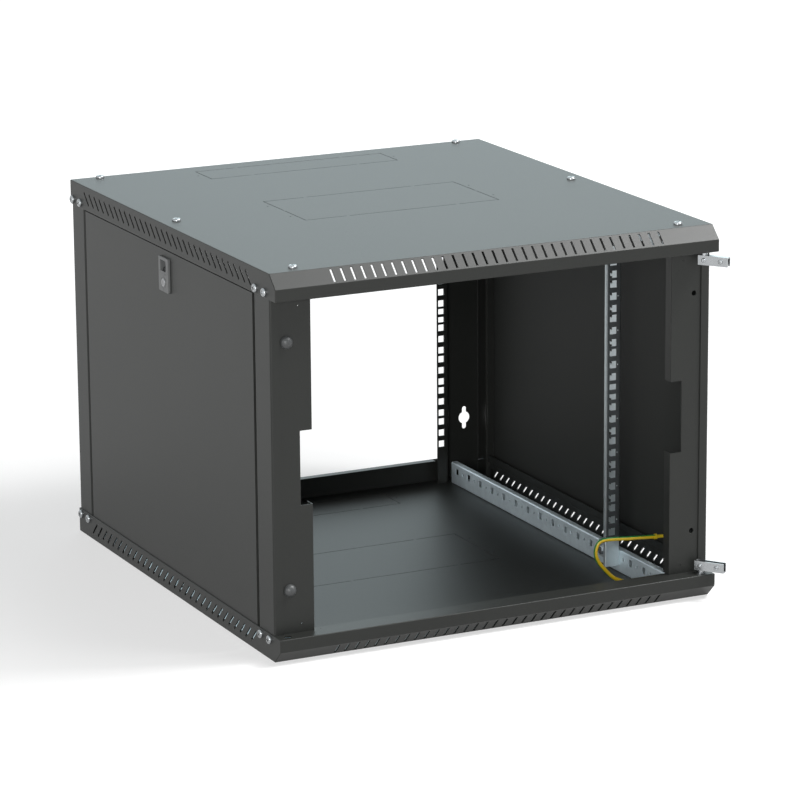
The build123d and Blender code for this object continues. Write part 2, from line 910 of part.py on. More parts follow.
def lock_cam():
    """Right lock cam, a flat arm on the end of the key cylinder."""
    level = latch_level() - cylinder_drop
    back = inner_half - latch_body_depth
    with BuildPart() as cam:
        with BuildSketch(Plane.YZ.offset(back)):
            with Locations((panel_middle, level)):
                Circle(cam_width / 2)
            with Locations((panel_middle, level + cam_width / 2)):
                Rectangle(
                    cam_width - 1, cam_length, align=(Align.CENTER, Align.MAX)
                )
        extrude(amount=-cam_sheet)
    return cam.part


def buffer():
    """Door buffers of the left post: domed heads with plugs in the buffer holes."""
    with BuildPart() as buffers:
        with BuildSketch(Plane.XZ.offset(-post_set_back - frame_sheet)):
            with Locations((-(half_width - buffer_inset), mid_height)):
                with GridLocations(0, 2 * buffer_spread, 1, 2):
                    Circle(buffer_radius)
        extrude(amount=buffer_dome)
        outer = buffers.faces().group_by(Axis.Y)[0].edges()
        fillet(outer, radius=buffer_round)
        with BuildSketch(Plane.XZ.offset(-post_set_back - frame_sheet)):
            with Locations((-(half_width - buffer_inset), mid_height)):
                with GridLocations(0, 2 * buffer_spread, 1, 2):
                    Circle(buffer_hole - plug_clearance)
        extrude(amount=-3 * frame_sheet)
    return buffers.part


def leaf_plane(level):
    """Plane on the hinge axis whose X runs along the opened leaf."""
    angle = math.radians(180 - leaf_open_angle)
    return Plane(
        origin=(pin_axis_x, pin_axis_y, level),
        x_dir=(math.cos(angle), -math.sin(angle), 0),
        z_dir=(0, 0, 1),
    )


def hinge_leaf():
    """Lower hinge leaf: a U clamp for the door edge, closed side down."""
    bottom = wall_height + leaf_gap
    with BuildPart() as leaf:
        with BuildSketch(leaf_plane(bottom)):
            with Locations((leaf_length / 2 - leaf_tail, 0)):
                Rectangle(leaf_length, leaf_thickness)
        extrude(amount=leaf_height)
        with BuildSketch(leaf_plane(bottom + leaf_sheet)):
            with Locations((leaf_length / 2 - leaf_tail, 0)):
                Rectangle(2 * leaf_length, leaf_thickness - 2 * leaf_sheet)
        extrude(amount=leaf_height, mode=Mode.SUBTRACT)
        with BuildSketch(leaf_side_plane(bottom, 0)):
            with Locations(*leaf_screw_places()):
                Circle(leaf_screw_shank)
        extrude(amount=leaf_thickness, both=True, mode=Mode.SUBTRACT)
        with BuildSketch(leaf_plane(bottom)):
            Circle(bush_bore - hinge_pin_fit)
        extrude(amount=leaf_sheet, mode=Mode.SUBTRACT)
    return leaf.part


def leaf_side_plane(level, outward):
    """Plane along the leaf, facing the room, at a distance from the hinge axis."""
    angle = math.radians(180 - leaf_open_angle)
    along = Vector(math.cos(angle), -math.sin(angle), 0)
    normal = Vector(-math.sin(angle), -math.cos(angle), 0)
    origin = Vector(pin_axis_x, pin_axis_y, level) + normal * outward
    return Plane(origin=origin, x_dir=along, z_dir=normal)


def leaf_screw_places():
    """Places of the two clamp screws, along the leaf and above its bottom."""
    first = leaf_screw_inset - leaf_tail
    last = leaf_length - leaf_tail - leaf_screw_tail
    return [(first, leaf_height / 2), (last, leaf_height / 2)]


def leaf_screws():
    """Domed clamp screws of the lower leaf."""
    bottom = wall_height + leaf_gap
    face = leaf_side_plane(bottom, leaf_thickness / 2)
    with BuildPart() as screws:
        with BuildSketch(face):
            with Locations(*leaf_screw_places()):
                Circle(leaf_screw_head)
        extrude(amount=leaf_screw_head_height)
        with BuildSketch(face):
            with Locations(*leaf_screw_places()):
                Circle(leaf_screw_shank - 0.1)
        extrude(amount=-leaf_thickness)
    return screws.part


def hinge_pin():
    """Lower hinge pin: shank in the bush, collar above it and rivet end in the leaf."""
    bottom = wall_height + leaf_gap
    collar_foot = wall_height + bush_flange_height + 0.3
    with BuildPart() as pin:
        with BuildSketch(Plane.XZ.offset(-pin_axis_y)):
            with BuildLine():
                Polyline(
                    (pin_axis_x, wall_height - cover_sheet - 4),
                    (pin_axis_x + bush_bore - hinge_pin_fit, wall_height - cover_sheet - 4),
                    (pin_axis_x + bush_bore - hinge_pin_fit, collar_foot),
                    (pin_axis_x + hinge_collar, collar_foot),
                    (pin_axis_x + hinge_collar, bottom),
                    (pin_axis_x + bush_bore - hinge_pin_fit, bottom),
                    (pin_axis_x + bush_bore - hinge_pin_fit, bottom + leaf_sheet + 0.8),
                    (pin_axis_x, bottom + leaf_sheet + 0.8),
                    close=True,
                )
            make_face()
        revolve(axis=Axis((pin_axis_x, pin_axis_y, 0), (0, 0, 1)))
    return pin.part


def hinge_bush():
    """Lower hinge bush, seated in the hole of the lip with its flange on top."""
    with BuildPart() as bush:
        with BuildSketch(Plane.XY.offset(wall_height)):
            with Locations((pin_axis_x, pin_axis_y)):
                Circle(bush_flange)
        extrude(amount=bush_flange_height)
        with BuildSketch(Plane.XY.offset(wall_height)):
            with Locations((pin_axis_x, pin_axis_y)):
                Circle(lip_hole)
        extrude(amount=-(cover_sheet + 1))
        with BuildSketch(Plane.XY.offset(wall_height - cover_sheet - 1)):
            with Locations((pin_axis_x, pin_axis_y)):
                Circle(bush_bore)
        extrude(amount=cover_sheet + 1 + bush_flange_height, mode=Mode.SUBTRACT)
    return bush.part


def lead_radii():
    """Largest bend radius that each inner point of the lead allows."""
    radii = []
    for before, here, after in zip(lead_points, lead_points[1:], lead_points[2:]):
        arriving = Vector(*here) - Vector(*before)
        leaving = Vector(*after) - Vector(*here)
        turn = math.radians(arriving.get_angle(leaving))
        shorter = min(arriving.length, leaving.length)
        radii.append(0.45 * shorter / math.tan(turn / 2))
    return radii


def earth_lead():
    """Lead from the tab behind the right post to the stud on the floor."""
    start = Vector(*lead_points[0])
    heading = Vector(*lead_points[1]) - start
    with BuildPart() as lead:
        with BuildLine():
            FilletPolyline(*lead_points, radius=lead_radii())
        with BuildSketch(Plane(origin=start, z_dir=heading)):
            Circle(lead_radius)
        sweep()
    return lead.part


def ring_lug():
    """Ring terminal on the floor stud with its crimped barrel on the lead."""
    end = Vector(*lead_points[-1])
    heading = (end - Vector(*lead_points[-2])).normalized()
    barrel_end = end + heading * barrel_length
    plate_bottom = cover_sheet
    with BuildPart() as lug:
        with BuildSketch(Plane(origin=end, z_dir=heading)):
            Circle(barrel_radius)
        extrude(amount=barrel_length)
        with BuildSketch(Plane.XZ.offset(-stud_y)):
            with BuildLine():
                Polyline(
                    (barrel_end.X - 2, barrel_end.Z + 0.5 * ring_sheet),
                    (stud_x - washer_radius - 0.5, plate_bottom + ring_sheet),
                    (stud_x, plate_bottom + ring_sheet),
                    (stud_x, plate_bottom),
                    (stud_x - washer_radius - 1.5, plate_bottom),
                    (barrel_end.X - 2, barrel_end.Z - 1.5 * ring_sheet),
                    close=True,
                )
            make_face()
        extrude(amount=barrel_radius - 0.3, both=True)
        with BuildSketch(Plane.XY.offset(plate_bottom)):
            with Locations((stud_x, stud_y)):
                Circle(ring_radius)
        extrude(amount=ring_sheet)
        with BuildSketch(Plane.XY.offset(plate_bottom)):
            with Locations((stud_x, stud_y)):
                Circle(stud_radius + 0.2)
        extrude(amount=2 * ring_sheet, mode=Mode.SUBTRACT)
    return lug.part


def lead_heading():
    """Direction in which the upper end of the lead points."""
    return (Vector(*lead_points[0]) - Vector(*lead_points[1])).normalized()


def tab_sleeve():
    """Slim insulated sleeve with a collar at the upper end of the lead."""
    end = Vector(*lead_points[0])
    heading = lead_heading()
    neck = end + heading * sleeve_collar_length
    mouth = neck + heading * sleeve_length
    with BuildPart() as sleeve:
        with BuildSketch(Plane(origin=end, z_dir=heading)):
            Circle(sleeve_collar)
        extrude(amount=sleeve_collar_length)
        with BuildSketch(Plane(origin=neck, z_dir=heading)):
            Circle(sleeve_radius)
        extrude(amount=sleeve_length)
        with BuildSketch(Plane(origin=mouth, x_dir=(0, 1, 0), z_dir=heading)):
            Rectangle(tab_sheet + tab_clearance, tab_width + tab_clearance)
        extrude(amount=-tab_engagement, mode=Mode.SUBTRACT)
    return sleeve.part


def earth_tab():
    """Blade on the inside of the right post, on which the sleeve is pushed."""
    heading = lead_heading()
    reach = sleeve_collar_length + sleeve_length - tab_engagement
    tip = Vector(*lead_points[0]) + heading * reach
    foot_face = inner_half - frame_sheet
    foot_y = tip.Y + heading.Y * (foot_face - tip.X)
    with BuildPart() as tab:
        with BuildSketch(Plane(origin=tip, x_dir=(0, 1, 0), z_dir=heading)):
            Rectangle(tab_sheet, tab_width)
        extrude(amount=foot_face - tip.X)
        with BuildSketch(Plane.YZ.offset(foot_face)):
            with Locations((foot_y, tip.Z)):
                Rectangle(tab_foot, tab_foot_height)
        extrude(amount=-tab_foot_sheet)
    return tab.part


def earth_stud():
    """Threaded stud welded to the floor of the bottom cover."""
    with BuildPart() as stud:
        with BuildSketch(Plane.XY.offset(cover_sheet)):
            with Locations((stud_x, stud_y)):
                Circle(stud_radius)
        extrude(amount=stud_height)
        chamfer(stud.edges().filter_by(GeomType.CIRCLE).sort_by(Axis.Z)[-1], length=0.6)
    return stud.part


def earth_washer():
    """Washer on the ring terminal."""
    with BuildPart() as washer:
        with BuildSketch(Plane.XY.offset(cover_sheet + ring_sheet)):
            with Locations((stud_x, stud_y)):
                Circle(washer_radius)
                Circle(stud_radius + 0.2, mode=Mode.SUBTRACT)
        extrude(amount=washer_height)
    return washer.part


def earth_nut():
    """Hexagon nut that clamps the ring terminal."""
    with BuildPart() as nut:
        with BuildSketch(Plane.XY.offset(cover_sheet + ring_sheet + washer_height)):
            with Locations((stud_x, stud_y)):
                RegularPolygon(earth_nut_flats / 2, 6, major_radius=False)
                Circle(stud_radius + 0.1, mode=Mode.SUBTRACT)
        extrude(amount=earth_nut_height)
    return nut.part


def main():
    """Make every piece and write it."""
    os.makedirs("parts", exist_ok=True)
    bottom = tray()
    save(bottom, "bottom_cover")
    save(mirrored_up(bottom), "top_cover")

    pairs = {
        "front_post": front_post(),
        "rear_upright": rear_upright(),
        "mounting_rail": mounting_rail(),
        "rail_bolts": rail_bolts(),
        "side_panel": side_panel(),
        "panel_pins": panel_pins(),
        "latch_housing": latch_housing(),
        "latch_slider": latch_slider(),
        "key_cylinder": key_cylinder(),
        "lock_cam": lock_cam(),
    }
    for name, shape in pairs.items():
        save(shape, f"{name}_right")
        save(mirrored_left(shape), f"{name}_left")

    rail = depth_rail()
    save(rail, "depth_rail_lower_right")
    save(mirrored_left(rail), "depth_rail_lower_left")
    save(mirrored_up(rail), "depth_rail_upper_right")
    save(mirrored_up(mirrored_left(rail)), "depth_rail_upper_left")

    save(outside_screws(flat_screw_places(), Plane.XY.offset(height)), "top_cover_screws")
    save(floor_screws(), "bottom_cover_screws")
    wall_places = side_screw_places()
    wall_places += [(place, height - level) for place, level in wall_places]
    side_screws = outside_screws(wall_places, Plane.YZ.offset(half_width))
    save(side_screws, "side_screws_right")
    save(mirrored_left(side_screws), "side_screws_left")

    save(buffer(), "door_buffers")

    hinge_pieces = {
        "hinge_leaf": hinge_leaf(),
        "hinge_leaf_screws": leaf_screws(),
        "hinge_pin": hinge_pin(),
        "hinge_bush": hinge_bush(),
    }
    for name, shape in hinge_pieces.items():
        save(shape, f"{name}_lower")
        save(mirrored_up(shape), f"{name}_upper")

    lead = earth_lead()
    save(lead, "earth_lead")
    save(ring_lug(), "earth_ring_lug")
    save(tab_sleeve(), "earth_sleeve")
    save(earth_tab(), "earth_tab")
    save(earth_stud(), "earth_stud")
    save(earth_washer(), "earth_washer")
    save(earth_nut(), "earth_nut")
    print("lead radii", [round(radius, 1) for radius in lead_radii()])
    print("lead volume", round(lead.volume), "section", round(math.pi * lead_radius**2, 2))


main()
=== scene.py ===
"""Looks of a wall-mounted 19-inch network cabinet, shown without its front door."""

import logging
import math
from dataclasses import dataclass, field
from enum import Enum

import bpy
from mathutils import Matrix, Vector


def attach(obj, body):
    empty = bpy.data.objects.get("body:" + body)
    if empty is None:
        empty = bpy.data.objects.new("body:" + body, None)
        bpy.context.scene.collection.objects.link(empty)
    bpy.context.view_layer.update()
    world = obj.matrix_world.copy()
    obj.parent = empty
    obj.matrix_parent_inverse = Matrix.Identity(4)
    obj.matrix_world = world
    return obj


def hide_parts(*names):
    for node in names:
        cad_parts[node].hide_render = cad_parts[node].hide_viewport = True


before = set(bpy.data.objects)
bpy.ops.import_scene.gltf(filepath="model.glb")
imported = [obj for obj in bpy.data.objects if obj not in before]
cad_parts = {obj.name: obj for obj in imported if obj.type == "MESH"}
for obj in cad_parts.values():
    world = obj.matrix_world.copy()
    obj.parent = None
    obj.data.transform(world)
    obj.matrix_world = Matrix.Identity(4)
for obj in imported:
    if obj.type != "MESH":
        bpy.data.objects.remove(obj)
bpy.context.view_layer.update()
NODES: dict[str, bpy.types.Object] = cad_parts
LOG = logging.getLogger("cabinet")

Colour = tuple[float, float, float]
Point = tuple[float, float, float]
Pair = tuple[float, float]

# Metres. The frame's origin lies in the middle of the underside, so a depth that is
# counted from the front edge line loses HALF_DEPTH
HALF_DEPTH = 0.325
HALF_WIDTH = 0.300
HEIGHT = 0.478

WHITE: Colour = (1.0, 1.0, 1.0)
COOL: Colour = (0.78, 1.0, 1.05)


def shade(tone: Colour, factor: float) -> Colour:
    """Lighten or darken a colour.

    Args:
        tone: The colour.
        factor: Factor for its brightness.

    Returns:
        The new colour, with no part above 1.
    """
    red, green, blue = (min(1.0, factor * value) for value in tone)
    return red, green, blue


class Side(Enum):
    """Side of the cabinet, seen from the front."""

    LEFT = -1
    RIGHT = 1

    @property
    def word(self) -> str:
        """Name of the side as the nodes write it."""
        return self.name.lower()


class Level(Enum):
    """Lower or upper end of the cabinet."""

    LOWER = 0
    UPPER = 1

    @property
    def word(self) -> str:
        """Name of the level as the nodes write it."""
        return self.name.lower()

    def height(self, value: float) -> float:
        """Height of a lower place, or of its mirror image at the upper end.

        Args:
            value: Height above the underside, in metres.

        Returns:
            The height at this end.
        """
        return value if self is Level.LOWER else HEIGHT - value


# Shader expressions


class Signal:
    """A socket that takes part in arithmetic by adding Math nodes."""

    def __init__(self, shop: "ShaderShop", socket: bpy.types.NodeSocket) -> None:
        """Keep the shop and the socket.

        Args:
            shop: Shop whose tree gets the Math nodes.
            socket: Output socket that carries the value.
        """
        self.shop = shop
        self.socket = socket

    def _math(self, operation: str, first: object, second: object = 0.0) -> "Signal":
        """Add one Math node.

        Args:
            operation: Blender's name of the operation.
            first: First operand, a signal or a number.
            second: Second operand, a signal or a number.

        Returns:
            The result as a signal.
        """
        node = self.shop.node(
            "ShaderNodeMath", {"operation": operation}, {0: first, 1: second}
        )
        return Signal(self.shop, node.outputs[0])

    def __add__(self, other: object) -> "Signal":
        """Sum."""
        return self._math("ADD", self, other)

    def __radd__(self, other: object) -> "Signal":
        """Sum with the signal on the right."""
        return self._math("ADD", other, self)

    def __sub__(self, other: object) -> "Signal":
        """Difference."""
        return self._math("SUBTRACT", self, other)

    def __rsub__(self, other: object) -> "Signal":
        """Difference with the signal on the right."""
        return self._math("SUBTRACT", other, self)

    def __mul__(self, other: object) -> "Signal":
        """Product."""
        return self._math("MULTIPLY", self, other)

    def __rmul__(self, other: object) -> "Signal":
        """Product with the signal on the right."""
        return self._math("MULTIPLY", other, self)

    def __gt__(self, other: object) -> "Signal":
        """One where the signal is larger, else zero."""
        return self._math("GREATER_THAN", self, other)

    def __pow__(self, other: object) -> "Signal":
        """Power."""
        return self._math("POWER", self, other)

    def __abs__(self) -> "Signal":
        """Value without its sign."""
        return self._math("ABSOLUTE", self)

    def within(self, low: float, high: float) -> "Signal":
        """One between two levels, else zero.

        Args:
            low: Lower level.
            high: Upper level.

        Returns:
            The mask as a signal.
        """
        return (self > low) - (self > high)


class ShaderShop:
    """Builds one material, node by node."""

    def __init__(self, name: str) -> None:
        """Start an empty material with its output and main shader.

        Args:
            name: Name of the material.
        """
        self.material = bpy.data.materials.new(name)
        self.material.use_nodes = True
        self.tree = self.material.node_tree
        self.tree.nodes.clear()
        self.shader = self.node("ShaderNodeBsdfPrincipled", {}, {})
        self.node("ShaderNodeOutputMaterial", {}, {"Surface": self.shader.outputs[0]})

    def node(self, kind: str, settings: dict, values: dict) -> bpy.types.Node:
        """Make any node.

        Args:
            kind: Blender's name of the node type.
            settings: Properties that are set first; "stops" fills a colour ramp.
            values: Numbers, colours, sockets or signals for the input sockets.

        Returns:
            The new node.
        """
        made = self.tree.nodes.new(kind)
        for key, value in settings.items():
            if key == "stops":
                self._fill_ramp(made.color_ramp, value)
            else:
                setattr(made, key, value)
        for key, value in values.items():
            source = value.socket if isinstance(value, Signal) else value
            if isinstance(source, bpy.types.NodeSocket):
                self.tree.links.new(source, made.inputs[key])
            else:
                made.inputs[key].default_value = source
        return made

    @staticmethod
    def _fill_ramp(ramp: bpy.types.ColorRamp, stops: list) -> None:
        """Give a ramp its stops.

        Args:
            ramp: The colour ramp.
            stops: Pairs of place and colour, from low to high.
        """
        while len(ramp.elements) < len(stops):
            ramp.elements.new(0.5)
        for element, (place, colour) in zip(ramp.elements, stops):
            element.position = place
            element.color = (*colour, 1.0)

    def place(self, scale: Point = (1.0, 1.0, 1.0)) -> bpy.types.NodeSocket:
        """Object coordinates, stretched along the axes.

        Args:
            scale: Factor for each axis.

        Returns:
            The vector socket.
        """
        source = self.node("ShaderNodeTexCoord", {}, {}).outputs["Object"]
        mapped = self.node("ShaderNodeMapping", {}, {"Vector": source, "Scale": scale})
        return mapped.outputs[0]

    def coordinate(self, axis: int) -> Signal:
        """One of the object coordinates.

        Args:
            axis: Number of the axis.

        Returns:
            The coordinate as a signal.
        """
        parts = self.node("ShaderNodeSeparateXYZ", {}, {0: self.place()})
        return Signal(self, parts.outputs[axis])

    def noise(
        self, vector: bpy.types.NodeSocket, scale: float, detail: float = 2.0
    ) -> Signal:
        """Noise between 0 and 1.

        Args:
            vector: Coordinates.
            scale: Grains per metre.
            detail: Octaves of finer noise.

        Returns:
            The noise as a signal.
        """
        node = self.node(
            "ShaderNodeTexNoise",
            {},
            {"Vector": vector, "Scale": scale, "Detail": detail},
        )
        return Signal(self, node.outputs[0])

    def mix(
        self, factor: object, first: object, second: object
    ) -> bpy.types.NodeSocket:
        """Mix two colours.

        Args:
            factor: Share of the second colour.
            first: First colour or socket.
            second: Second colour or socket.

        Returns:
            The mixed colour.
        """
        # Sockets 6 and 7 of a Mix node take the two colours
        colours = [
            (*value, 1.0) if isinstance(value, tuple) else value
            for value in (first, second)
        ]
        node = self.node(
            "ShaderNodeMix",
            {"data_type": "RGBA"},
            {0: factor, 6: colours[0], 7: colours[1]},
        )
        return node.outputs[2]

    def link(self, name: str, value: object) -> None:
        """Feed an input of the main shader.

        Args:
            name: Name of the input.
            value: Signal, socket or number.
        """
        source = value.socket if isinstance(value, Signal) else value
        if isinstance(source, bpy.types.NodeSocket):
            self.tree.links.new(source, self.shader.inputs[name])
        else:
            self.shader.inputs[name].default_value = source

    def bump(self, height: Signal, distance: float, strength: float = 1.0) -> None:
        """Raise the surface by a height signal.

        Args:
            height: Height between 0 and 1.
            distance: Height of 1, in metres.
            strength: Share of the effect.
        """
        node = self.node(
            "ShaderNodeBump",
            {},
            {"Height": height, "Distance": distance, "Strength": strength},
        )
        self.link("Normal", node.outputs[0])


# Finishes


@dataclass(frozen=True)
class Band:
    """Layer between two distances from the middle, along one axis."""

    axis: int
    low: float
    high: float

    def mask(self, shop: ShaderShop) -> Signal:
        """One inside the layer, else zero.

        Args:
            shop: Shop of the material.

        Returns:
            The mask as a signal.
        """
        return abs(shop.coordinate(self.axis)).within(self.low, self.high)


@dataclass(frozen=True)
class PowderCoat:
    """Baked powder coat with a fine grain, duller on one inner face."""

    tone: Colour = (0.0188, 0.0199, 0.0181)
    dark: float = 0.75
    light: float = 1.45
    tone_shares: tuple[float, float, float] = (0.55, 0.25, 0.35)
    rough: float = 0.37
    rough_span: float = 0.12
    reflection: float = 0.3
    grain: float = 900.0
    speck: float = 2070.0
    speck_level: float = 0.66
    cloud: float = 7.0
    depth: float = 0.00006
    inner: Band | None = None
    dullness: float = 0.0

    def material(self, name: str) -> bpy.types.Material:
        """Make the coat.

        Args:
            name: Name of the material.

        Returns:
            The material.
        """
        shop = ShaderShop(name)
        place = shop.place()
        grain = shop.noise(place, self.grain, 3.0)
        speck = shop.noise(place, self.speck, 1.0)
        cloud = shop.noise(place, self.cloud)
        first, second, third = self.tone_shares
        share = grain * first + cloud * second + (speck > self.speck_level) * third
        tones = shade(self.tone, self.dark), shade(self.tone, self.light)
        shop.link("Base Color", shop.mix(share, *tones))
        rough = self.rough + grain * self.rough_span
        if self.inner:
            rough = rough + self.inner.mask(shop) * self.dullness
        shop.link("Roughness", rough)
        shop.link("Specular IOR Level", self.reflection)
        shop.bump(grain + speck * 0.4, self.depth, 0.8)
        return shop.material


@dataclass(frozen=True)
class Galvanised:
    """Zinc-coated sheet with faint spangles, with painted shade on one outer face if
    one is given.
    """

    tone: Colour = (0.82, 0.91, 0.96)
    dark: float = 0.92
    light: float = 1.06
    tone_shares: Pair = (0.45, 0.55)
    rough: float = 0.52
    rough_spans: Pair = (0.05, 0.07)
    metal: float = 0.9
    spangle: float = 130.0
    cloud: float = 22.0
    scratch: float = 60.0
    scratch_stretch: Point = (30.0, 1.0, 30.0)
    depth: float = 0.00003
    # Band of painted shade: a near-black tone that stands in for a dark reflection on
    # the face above its foot
    face: Band | None = None
    face_foot: float = 0.050
    painted_shade_tone: Colour = (0.010, 0.011, 0.012)
    painted_shade_share: float = 0.80

    def material(self, name: str) -> bpy.types.Material:
        """Make the zinc.

        Args:
            name: Name of the material.

        Returns:
            The material.
        """
        shop = ShaderShop(name)
        place = shop.place()
        cells = shop.node(
            "ShaderNodeTexVoronoi", {}, {"Vector": place, "Scale": self.spangle}
        )
        parts = shop.node("ShaderNodeSeparateColor", {}, {0: cells.outputs["Color"]})
        tint = Signal(shop, parts.outputs[0])
        cloud = shop.noise(place, self.cloud, 3.0)
        scratch = shop.noise(shop.place(self.scratch_stretch), self.scratch)
        tones = shade(self.tone, self.dark), shade(self.tone, self.light)
        first, second = self.tone_shares
        colour = shop.mix(tint * first + cloud * second, *tones)
        # Painted shade: above its foot, the face is mixed towards a near-black tone, a
        # dark reflection put into the colour
        if self.face:
            mask = self.face.mask(shop) * (shop.coordinate(2) > self.face_foot)
            colour = shop.mix(mask * self.painted_shade_share, colour, self.painted_shade_tone)
        shop.link("Base Color", colour)
        shop.link("Metallic", self.metal)
        first, second = self.rough_spans
        shop.link("Roughness", self.rough + tint * first + scratch * second)
        shop.bump(cloud + scratch * 0.3, self.depth, 0.4)
        return shop.material


@dataclass(frozen=True)
class Plated:
    """Bright plated steel or zinc casting."""

    tone: Colour = (0.40, 0.415, 0.425)
    dark: float = 0.78
    tone_shares: Pair = (0.8, 0.2)
    rough: float = 0.17
    rough_span: float = 0.14
    metal: float = 0.95
    haze: float = 260.0
    grain: float = 1800.0
    depth: float = 0.00002

    def material(self, name: str) -> bpy.types.Material:
        """Make the plating.

        Args:
            name: Name of the material.

        Returns:
            The material.
        """
        shop = ShaderShop(name)
        place = shop.place()
        haze = shop.noise(place, self.haze, 3.0)
        fine = shop.noise(place, self.grain, 1.0)
        tones = shade(self.tone, self.dark), self.tone
        first, second = self.tone_shares
        shop.link("Base Color", shop.mix(haze * first + fine * second, *tones))
        shop.link("Metallic", self.metal)
        shop.link("Roughness", self.rough + haze * self.rough_span)
        shop.bump(fine, self.depth, 0.4)
        return shop.material


@dataclass(frozen=True)
class Moulded:
    """Injection moulded plastic or rubber with a spark-eroded grain."""

    tone: Colour
    rough: float
    rough_span: float = 0.12
    tone_shares: Pair = (0.5, 0.5)
    grain: float = 1500.0
    dark: float = 0.82
    light: float = 1.15
    flow: float = 60.0
    depth: float = 0.00004

    def material(self, name: str) -> bpy.types.Material:
        """Make the plastic.

        Args:
            name: Name of the material.

        Returns:
            The material.
        """
        shop = ShaderShop(name)
        place = shop.place()
        grain = shop.noise(place, self.grain)
        flow = shop.noise(place, self.flow)
        tones = shade(self.tone, self.dark), shade(self.tone, self.light)
        first, second = self.tone_shares
        shop.link("Base Color", shop.mix(grain * first + flow * second, *tones))
        shop.link("Roughness", self.rough + grain * self.rough_span)
        shop.bump(grain, self.depth, 0.6)
        return shop.material


@dataclass(frozen=True)
class TwoColourSheath:
    """Yellow sheath with a green stripe along it, on the UV map of the lead."""

    yellow: Colour = (0.58, 0.40, 0.012)
    green: Colour = (0.008, 0.17, 0.03)
    stripe: tuple[float, float] = (0.04, 0.42)
    rough: float = 0.30
    rough_span: float = 0.12
    haze: float = 300.0
    depth: float = 0.00003

    def material(self, name: str) -> bpy.types.Material:
        """Make the sheath.

        Args:
            name: Name of the material.

        Returns:
            The material.
        """
        shop = ShaderShop(name)
        chart = shop.node("ShaderNodeTexCoord", {}, {}).outputs["UV"]
        parts = shop.node("ShaderNodeSeparateXYZ", {}, {0: chart})
        around = Signal(shop, parts.outputs[1])
        stripe = around.within(*self.stripe)
        haze = shop.noise(shop.place(), self.haze)
        shop.link("Base Color", shop.mix(stripe, self.yellow, self.green))
        shop.link("Roughness", self.rough + haze * self.rough_span)
        shop.bump(haze, self.depth, 0.5)
        return shop.material


# Mesh work by operators


